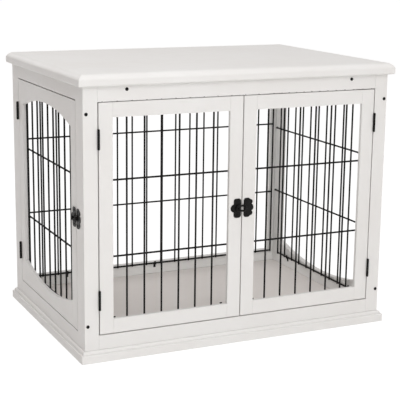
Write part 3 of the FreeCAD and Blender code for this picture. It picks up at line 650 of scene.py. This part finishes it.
def door_hinges(door):
    """Panel-space axis point, barrel length and the door's direction, for each hinge."""
    side = SIDE_OF_DOOR[door]
    joint = next(j for j in frame["record"]["behaviour"]["joints"] if j["name"] == door + "_hinge")
    axis = panel(side).inverted() @ Vector(joint["pos_m"])
    door_middle = sum(in_panel(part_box(door + "_rail_top"), side), Vector()) / 2
    toward = 1 if door_middle.x > axis.x else -1
    hinges = []
    for box in islands("hinge_pins"):
        low, high = in_panel(box, side)
        middle = (low + high) / 2
        if abs(middle.x - axis.x) < SAME_AXIS and abs(middle.y - axis.y) < SAME_AXIS:
            hinges.append((middle, high.z - low.z - 2 * PIN_END, toward))
    return hinges


def add_leaf(shape, middle, length, toward, own):
    """Leaf on the wood beside a hinge's axis, with its own knuckles and flush screws."""
    inner, outer = sorted((toward * LEAF_FACE, toward * (LEAF_FACE - LEAF_THICK)))
    low = middle.z - length / 2
    add_block(shape, (middle.x + inner, middle.y + LEAF_START, low),
              (middle.x + outer, middle.y + LEAF_END, low + length))
    pitch = length / KNUCKLES
    for index in own:
        start = low + index * pitch + KNUCKLE_GAP / 2
        add_tube(shape, BARREL_RADIUS, PIN_BORE, pitch - KNUCKLE_GAP,
                 Vector((middle.x, middle.y, start)), UP, BARREL_EASE)
        add_block(shape, (middle.x + inner, middle.y + LEAF_ROOT, start),
                  (middle.x + outer, middle.y + LEAF_START, start + pitch - KNUCKLE_GAP))
    depth = middle.y + (LEAF_START + LEAF_END) / 2
    face = middle.x + toward * (LEAF_FACE - LEAF_THICK)
    for sign in (-1, 1):
        place = Vector((face, depth, middle.z + sign * LEAF_SCREWS * length))
        add_head(shape, place, Vector((-toward, 0, 0)), FLUSH_HEAD_RADIUS, FLUSH_HEAD_PROUD,
                 cross_shaped(SCREW_CROSS, SCREW_CROSS_WIDTH))


def add_pin(shape, middle, length):
    """Hinge pin with domed, riveted ends."""
    half = length / 2
    upper = [
        (PIN_RADIUS, half),
        (PIN_DOME, half),
        (PIN_DOME, half + PIN_RIM),
        (PIN_TIP, half + PIN_END),
    ]
    lower = [(radius, -distance) for radius, distance in reversed(upper)]
    add_turned(shape, lower + upper, middle, UP)


def hinge_pieces():
    """Rounded leaves and pins in place of the faceted ones."""
    fixed = bmesh.new()
    pins = bmesh.new()
    for door, side in SIDE_OF_DOOR.items():
        moving = bmesh.new()
        still = bmesh.new()
        turning = bmesh.new()
        for middle, length, toward in door_hinges(door):
            add_leaf(still, middle, length, -toward, range(0, KNUCKLES, 2))
            add_leaf(moving, middle, length, toward, range(1, KNUCKLES, 2))
            add_pin(turning, middle, length)
        move_into(fixed, still, panel(side))
        move_into(pins, turning, panel(side))
        bmesh.ops.transform(moving, matrix=panel(side), verts=moving.verts)
        stand_in(door + "_hinge_leaves", "_rounded", moving, HARDWARE_COAT)
    stand_in("hinge_frame_leaves", "_rounded", fixed, HARDWARE_COAT)
    stand_in("hinge_pins", "_rounded", pins, HARDWARE_COAT)


def move_into(target, source, matrix):
    """Add one bmesh to another, taken through a matrix."""
    bmesh.ops.transform(source, matrix=matrix, verts=source.verts)
    mesh = bpy.data.meshes.new("passing")
    source.to_mesh(mesh)
    source.free()
    target.from_mesh(mesh)
    bpy.data.meshes.remove(mesh)


# ---------------------------------------------------------------- latches
PLATE_THICK = 1.6 * MM
HASP_STRIP = 17.5 * MM          # width of a plate's upright strip
STUD_STRIP = 19.0 * MM
STUD_STRIP_SHIFT = 1.5 * MM     # how much nearer to the seam the stud plate ends than its solid
PLATE_CORNER = 6.0 * MM
PLATE_EDGE = 0.5 * MM           # depth and width of a plate's eased edge
PLATE_EDGE_BOW = 0.15 * MM      # the same at the middle of its curve
PLATE_RIM = 1.3 * MM            # outline to the inner side of the raised rim
PLATE_FIELD_DEPTH = 0.4 * MM
PLATE_STEPS = 144               # points round a plate
STUD_LOBE = 9.6 * MM            # radius, as are the two below
HASP_LOBE = 9.0 * MM
SCALLOP = 6.0 * MM
SCALLOP_WIDTH = 23.5 * MM
SCALLOP_RISE = 13.5 * MM
PLATE_SCREW_RISE = 16.0 * MM
STUD_RADIUS = 2.7 * MM
STUD_INSET = 5.6 * MM
STUD_SINK = 0.6 * MM
STUD_TIP = [(1.0, 0.80), (0.86, 0.93), (0.45, 1.0)]     # shares of the stud's radius and length
LOOP_RADIUS = 1.75 * MM
LOOP_ARM_RADIUS = 2.4 * MM
LOOP_CORNER = 3.4 * MM
LOOP_BORE = 1.85 * MM
LOOP_KNUCKLE = 7.0 * MM
LOOP_KNUCKLE_RADIUS = 3.2 * MM
LOOP_KNUCKLE_EASE = 0.3 * MM
LOOP_SIDES = 16
LOOP_BEND_STEPS = 16
LOOP_CORNER_STEPS = 6


def exit_disc(turn, disc):
    """Where a ray from the origin enters and leaves a disc of the plate's outline."""
    x, z, radius = disc
    along = x * math.cos(turn) + z * math.sin(turn)
    off = x * math.sin(turn) - z * math.cos(turn)
    if abs(off) >= radius:
        return None
    half = math.sqrt(radius ** 2 - off ** 2)
    return (along - half, along + half) if along + half > 0 else None


def strip_reach(turn, half_width, half_height, corner):
    """Ray length to the edge of an upright strip with rounded corners, from its middle."""
    level = abs(math.cos(turn))
    rise = abs(math.sin(turn))
    reach = min(half_width / max(level, TINY), half_height / max(rise, TINY))
    corner_x = half_width - corner
    corner_z = half_height - corner
    if reach * level > corner_x and reach * rise > corner_z:
        span = exit_disc(math.atan2(rise, level), (corner_x, corner_z, corner))
        reach = span[1] if span else reach
    return reach


def plate_reach(turn, half_width, half_height, discs):
    """Ray length from the strip's middle to the edge of strip and discs together."""
    reach = strip_reach(turn, half_width, half_height, PLATE_CORNER)
    spans = sorted(span for span in (exit_disc(turn, disc) for disc in discs) if span)
    for near, far in spans:
        if near <= reach:
            reach = max(reach, far)
    return reach


def add_plate(shape, centre, half_width, half_height, discs):
    """Pressed plate with an eased edge, a raised rim and a slightly sunk field."""
    turns = [2 * math.pi * step / PLATE_STEPS for step in range(PLATE_STEPS)]
    reaches = [plate_reach(turn, half_width, half_height, discs) for turn in turns]
    front = -PLATE_THICK
    levels = [
        (0, 0),
        (0, front + PLATE_EDGE),
        (PLATE_EDGE_BOW, front + PLATE_EDGE_BOW),
        (PLATE_EDGE, front),
        (PLATE_RIM, front),
        (PLATE_RIM + PLATE_FIELD_DEPTH, front + PLATE_FIELD_DEPTH),
    ]
    rings = []
    for inset, depth in levels:
        ring = []
        for turn, reach in zip(turns, reaches):
            r = reach - inset
            ring.append(shape.verts.new(centre + Vector((r * math.cos(turn), depth, r * math.sin(turn)))))
        rings.append(ring)
    bridge_rings(shape, rings)
    shape.faces.new(rings[0])
    shape.faces.new(rings[-1])


def arc_points(centre, radius, start, sweep, steps):
    """Points along an arc in a latch's plane, its ends included."""
    turns = [start + sweep * step / steps for step in range(steps + 1)]
    return [(centre[0] + radius * math.cos(turn), centre[1] + radius * math.sin(turn)) for turn in turns]


def add_loop(shape, axis, length, height):
    """Closed loop with a thin upright leg in the knuckle and thicker arms round the stud."""
    half = height / 2 - LOOP_ARM_RADIUS
    bend = (axis.x - length + half + LOOP_ARM_RADIUS, 0)
    path = arc_points(bend, half, math.pi / 2, math.pi, LOOP_BEND_STEPS)
    for sign, start in ((-1, -math.pi / 2), (1, 0)):
        corner = (axis.x - LOOP_CORNER, sign * (half - LOOP_CORNER))
        path += arc_points(corner, LOOP_CORNER, start, math.pi / 2, LOOP_CORNER_STEPS)
    rings = []
    for index, (x, z) in enumerate(path):
        before = Vector(path[index - 1])
        after = Vector(path[(index + 1) % len(path)])
        along = (after - before).normalized()
        side = Vector((along.y, 0, -along.x))
        thicker = min((axis.x - x) / LOOP_CORNER, 1)
        radius = LOOP_RADIUS + (LOOP_ARM_RADIUS - LOOP_RADIUS) * thicker
        ring = []
        for step in range(LOOP_SIDES):
            turn = 2 * math.pi * step / LOOP_SIDES
            offset = radius * (math.cos(turn) * side + math.sin(turn) * INWARD)
            ring.append(shape.verts.new(Vector((x, axis.y, axis.z + z)) + offset))
        rings.append(ring)
    bridge_rings(shape, rings, closed=True)


def stud_shape(low, high, middle_z, half_height):
    """Stud plate between two corners of its node in panel space, with its stud and screws."""
    shape = bmesh.new()
    centre = Vector((high.x + STUD_STRIP_SHIFT - STUD_STRIP / 2, 0, middle_z))
    lobe = (low.x + STUD_LOBE - centre.x, 0, STUD_LOBE)
    add_plate(shape, centre, STUD_STRIP / 2, half_height, [lobe])
    length = -PLATE_THICK - low.y
    profile = [(STUD_RADIUS, -STUD_SINK)]
    profile += [(STUD_RADIUS * wide, length * far) for wide, far in STUD_TIP]
    add_turned(shape, profile, Vector((high.x - STUD_INSET, -PLATE_THICK, middle_z)), -INWARD)
    add_plate_screws(shape, centre)
    return shape


def hasp_shape(low, high, axis, half_height):
    """Hasp plate between two corners of its node in panel space, with the loop's knuckle."""
    shape = bmesh.new()
    centre = Vector((low.x + HASP_STRIP / 2, 0, axis.z))
    scallop_x = low.x + SCALLOP_WIDTH - SCALLOP - centre.x
    discs = [
        (high.x - HASP_LOBE - centre.x, 0, HASP_LOBE),
        (scallop_x, SCALLOP_RISE, SCALLOP),
        (scallop_x, -SCALLOP_RISE, SCALLOP),
    ]
    add_plate(shape, centre, HASP_STRIP / 2, half_height, discs)
    foot = axis - UP * LOOP_KNUCKLE / 2
    add_tube(shape, LOOP_KNUCKLE_RADIUS, LOOP_BORE, LOOP_KNUCKLE, foot, UP, LOOP_KNUCKLE_EASE)
    add_block(shape, (axis.x - LOOP_KNUCKLE_RADIUS, axis.y + LOOP_BORE, foot.z),
              (axis.x + LOOP_KNUCKLE_RADIUS, -PLATE_THICK / 2, foot.z + LOOP_KNUCKLE))
    add_plate_screws(shape, centre)
    return shape


def latch_pieces(name, side):
    """Stud plate, hasp plate and loop of one latch, smooth and screwed on."""
    stud_low, stud_high = in_panel(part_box(name + "_stud_plate"), side)
    hasp_low, hasp_high = in_panel(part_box(name + "_hasp_plate"), side)
    loop_low, loop_high = in_panel(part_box(name + "_latch_loop"), side)
    middle_z = (hasp_low.z + hasp_high.z) / 2
    half_height = (hasp_high.z - hasp_low.z) / 2
    axis = Vector((loop_high.x - LOOP_RADIUS, (loop_low.y + loop_high.y) / 2, middle_z))
    loop = bmesh.new()
    add_loop(loop, axis, axis.x - loop_low.x, loop_high.z - loop_low.z)
    shapes = [
        ("_stud_plate", "_pressed", stud_shape(stud_low, stud_high, middle_z, half_height)),
        ("_hasp_plate", "_pressed", hasp_shape(hasp_low, hasp_high, axis, half_height)),
        ("_latch_loop", "_bent", loop),
    ]
    for part, suffix, shape in shapes:
        bmesh.ops.transform(shape, matrix=panel(side), verts=shape.verts)
        stand_in(name + part, suffix, shape, HARDWARE_COAT)


def add_plate_screws(shape, centre):
    """Two screws in a latch plate's strip."""
    for sign in (-1, 1):
        place = centre + Vector((0, -PLATE_THICK + PLATE_FIELD_DEPTH, sign * PLATE_SCREW_RISE))
        add_screw(shape, place, -INWARD)


# ---------------------------------------------------------------- painted boards
EASED = 0.7 * MM
EASED_MOULDING = 0.4 * MM
EASE_SEGMENTS = 2
EASE_ANGLE = 35             # degrees; edges sharper than this are eased
FULL_WEIGHT = 100           # shading follows the large faces alone


def ease_edges(node, width):
    """Slightly rounded edges, as sanding and paint leave them, with clean shading."""
    piece = NODES[node]
    weld = piece.modifiers.new("weld", "WELD")
    weld.merge_threshold = SAME_CAD_POINT
    ease = piece.modifiers.new("ease", "BEVEL")
    ease.width = width
    ease.segments = EASE_SEGMENTS
    ease.limit_method = "ANGLE"
    ease.angle_limit = math.radians(EASE_ANGLE)
    shade = piece.modifiers.new("shade", "WEIGHTED_NORMAL")
    shade.weight = FULL_WEIGHT
    shade.keep_sharp = False


def dress_nodes():
    """Material of every CAD node by its slot, and eased edges on the boards."""
    for node, slot in SLOT_OF.items():
        if slot == "white_paint":
            set_material(NODES[node], paint_for(node))
            moulded = node == "table_top" or node.startswith("base_moulding")
            ease_edges(node, EASED_MOULDING if moulded else EASED)
        elif slot == "floor_paint":
            set_material(NODES[node], FLOOR_PAINT)
            ease_edges(node, EASED)
        elif slot == "black_wire":
            set_material(NODES[node], WIRE_COAT)
        elif slot == "black_hardware":
            set_material(NODES[node], HARDWARE_COAT)
        else:
            set_material(NODES[node], ZINC)


# ---------------------------------------------------------------- stage
FLOOR_SIZE = 60.0
FLOOR_PAPER = (0.92, 0.91, 0.90, 1)
FLOOR_ROUGHNESS = 0.9
FLOOR_SPECULAR = 0.1
FLOOR_GLOW = 1.12
FLOOR_GLOW_SHARE = 0.85     # of what the camera and glossy surfaces see of the floor
SOFTBOXES = [
    # name, place, aim, width, height, power
    ("front_key", (-0.7, -3.2, 2.7), (0.0, 0.0, 0.3), 1.8, 1.8, 42.0),
    ("camera_fill", (-0.9, -4.2, 0.9), (0.0, 0.0, 0.3), 2.2, 1.4, 24.0),
    ("top_fill", (-0.4, -0.4, 3.3), (0.0, 0.0, 0.5), 2.6, 2.6, 32.0),
    ("left_low", (-2.4, -0.6, 0.35), (-0.4, 0.0, 0.15), 1.2, 0.5, 0.8),
    ("rear_fill", (-1.6, 3.0, 2.2), (0.0, 0.0, 0.1), 1.8, 1.4, 26.0),
    # stands inside the cabinet and lifts the shade in its rear right corner
    ("inside_fill", (0.0, 0.0, 0.46), (0.39, 0.27, 0.28), 0.25, 0.25, 0.5),
]
AMBIENT = 0.60
AMBIENT_COLOUR = (1.0, 0.968, 0.955)
DIM_SIDE = (0.33, 0.28, 0.265)      # colour of the studio's left side, as a share of AMBIENT
DIM_END = -0.6                      # the world is dim up to this X of its direction
BRIGHT_END = 0.3                    # and fully bright from here on
WHITE = (1, 1, 1, 1)


def add_floor():
    """Pale floor that reads as white paper and keeps a soft shadow."""
    shape = bmesh.new()
    bmesh.ops.create_grid(shape, x_segments=1, y_segments=1, size=FLOOR_SIZE / 2)
    mesh = bpy.data.meshes.new("floor")
    shape.to_mesh(mesh)
    shape.free()
    floor = bpy.data.objects.new("floor", mesh)
    bpy.context.scene.collection.objects.link(floor)
    g = Graph("floor_paper")
    g.shader.inputs["Base Color"].default_value = FLOOR_PAPER
    g.shader.inputs["Roughness"].default_value = FLOOR_ROUGHNESS
    g.shader.inputs["Specular IOR Level"].default_value = FLOOR_SPECULAR
    glow = g.add("ShaderNodeEmission", {"Color": WHITE, "Strength": FLOOR_GLOW})
    ray = g.add("ShaderNodeLightPath")
    seen = g.maths("MAXIMUM", ray.outputs["Is Camera Ray"], ray.outputs["Is Glossy Ray"])
    share = g.maths("MULTIPLY", seen, FLOOR_GLOW_SHARE)
    mix = g.add("ShaderNodeMixShader")
    g.feed(share, mix.inputs[0])
    g.feed(g.shader.outputs[0], mix.inputs[1])
    g.feed(glow.outputs[0], mix.inputs[2])
    g.feed(mix.outputs[0], g.output.inputs["Surface"])
    set_material(floor, g.material)


def add_softboxes():
    """Soft studio lamps, which the camera itself doesn't see."""
    for name, place, aim, width, height, power in SOFTBOXES:
        data = bpy.data.lights.new(name, "AREA")
        data.shape = "RECTANGLE"
        data.size = width
        data.size_y = height
        data.energy = power
        lamp = bpy.data.objects.new(name, data)
        lamp.location = place
        lamp.visible_camera = False
        lamp.rotation_euler = (Vector(aim) - Vector(place)).to_track_quat("-Z", "Y").to_euler()
        bpy.context.scene.collection.objects.link(lamp)


def add_world():
    """World that lights the left side less; the camera sees it white."""
    world = bpy.data.worlds.new("studio")
    bpy.context.scene.world = world
    world.use_nodes = True
    tree = world.node_tree
    sky = tree.nodes["Background"]
    ray = tree.nodes.new("ShaderNodeLightPath")
    seen = tree.nodes.new("ShaderNodeMath")
    seen.operation = "MAXIMUM"
    where = tree.nodes.new("ShaderNodeTexCoord")
    parts = tree.nodes.new("ShaderNodeSeparateXYZ")
    side = tree.nodes.new("ShaderNodeMapRange")
    side.inputs["From Min"].default_value = DIM_END
    side.inputs["From Max"].default_value = BRIGHT_END
    shade = tree.nodes.new("ShaderNodeMix")
    shade.data_type = "RGBA"
    shade.inputs[6].default_value = [AMBIENT * value for value in DIM_SIDE] + [1]
    shade.inputs[7].default_value = [AMBIENT * value for value in AMBIENT_COLOUR] + [1]
    colour = tree.nodes.new("ShaderNodeMix")
    colour.data_type = "RGBA"
    colour.inputs[7].default_value = WHITE
    tree.links.new(where.outputs["Generated"], parts.inputs[0])
    tree.links.new(parts.outputs["X"], side.inputs["Value"])
    tree.links.new(side.outputs[0], shade.inputs[0])
    tree.links.new(shade.outputs[2], colour.inputs[6])
    tree.links.new(ray.outputs["Is Camera Ray"], seen.inputs[0])
    tree.links.new(ray.outputs["Is Transmission Ray"], seen.inputs[1])
    tree.links.new(seen.outputs[0], colour.inputs[0])
    tree.links.new(colour.outputs[2], sky.inputs["Color"])


# ---------------------------------------------------------------- build
add_camera()
dress_nodes()
inner_rows = {node: wire_piece(node) for node, slot in SLOT_OF.items() if slot == "black_wire"}
row_eyes(inner_rows["right_side_mesh"])
bolt_piece("frame_bolts")
hinge_pieces()
latch_pieces("front", "front")
latch_pieces("side", "left")
for door, door_side in SIDE_OF_DOOR.items():
    clip_screws(door + "_mesh_clips", lambda box, side=door_side: side)
clip_screws("frame_mesh_clips", fixed_side)
add_floor()
add_softboxes()
add_world()
bpy.context.scene.view_settings.view_transform = "Standard"
